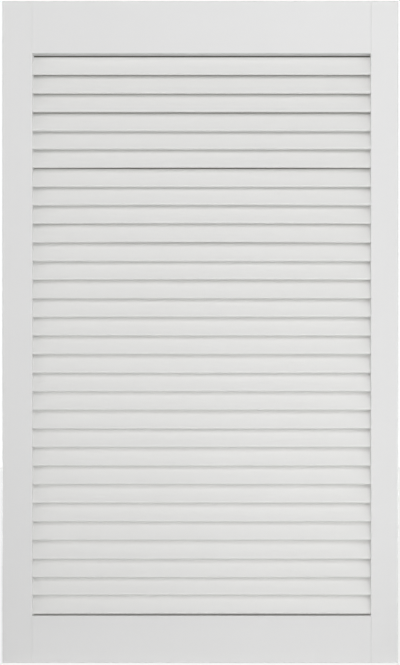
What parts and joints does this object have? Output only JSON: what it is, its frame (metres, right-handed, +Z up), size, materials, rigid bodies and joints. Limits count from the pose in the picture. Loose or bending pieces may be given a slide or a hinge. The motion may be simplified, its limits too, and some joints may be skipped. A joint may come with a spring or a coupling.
{
  "type": "louvred door leaf",
  "caption": "White-painted wooden louvred cupboard door leaf: two stiles, a top and a bottom rail, and fixed slanting slats that let air through and block the view.",
  "frame": {"origin": "middle of the hinge edge: the flat outer edge of the left stile, at mid height and mid thickness", "axes": "+X across the leaf from the hinge edge to the opposite edge, +Y from the front to the back, +Z up"},
  "size_m": [0.594, 0.021, 0.993],
  "materials": {
    "frame_paint": "satin white paint on planed pine",
    "slat_paint": "satin white paint on planed pine"
  },
  "bodies": {
    "root": {"left_stile": "frame_paint", "right_stile": "frame_paint", "top_rail": "frame_paint", "bottom_rail": "frame_paint", "slat_01": "slat_paint", "slat_02": "slat_paint", "slat_03": "slat_paint", "slat_04": "slat_paint", "slat_05": "slat_paint", "slat_06": "slat_paint", "slat_07": "slat_paint", "slat_08": "slat_paint", "slat_09": "slat_paint", "slat_10": "slat_paint", "slat_11": "slat_paint", "slat_12": "slat_paint", "slat_13": "slat_paint", "slat_14": "slat_paint", "slat_15": "slat_paint", "slat_16": "slat_paint", "slat_17": "slat_paint", "slat_18": "slat_paint", "slat_19": "slat_paint", "slat_20": "slat_paint", "slat_21": "slat_paint", "slat_22": "slat_paint", "slat_23": "slat_paint", "slat_24": "slat_paint", "slat_25": "slat_paint", "slat_26": "slat_paint", "slat_27": "slat_paint", "slat_28": "slat_paint", "slat_29": "slat_paint", "slat_30": "slat_paint"}
  },
  "joints": []
}
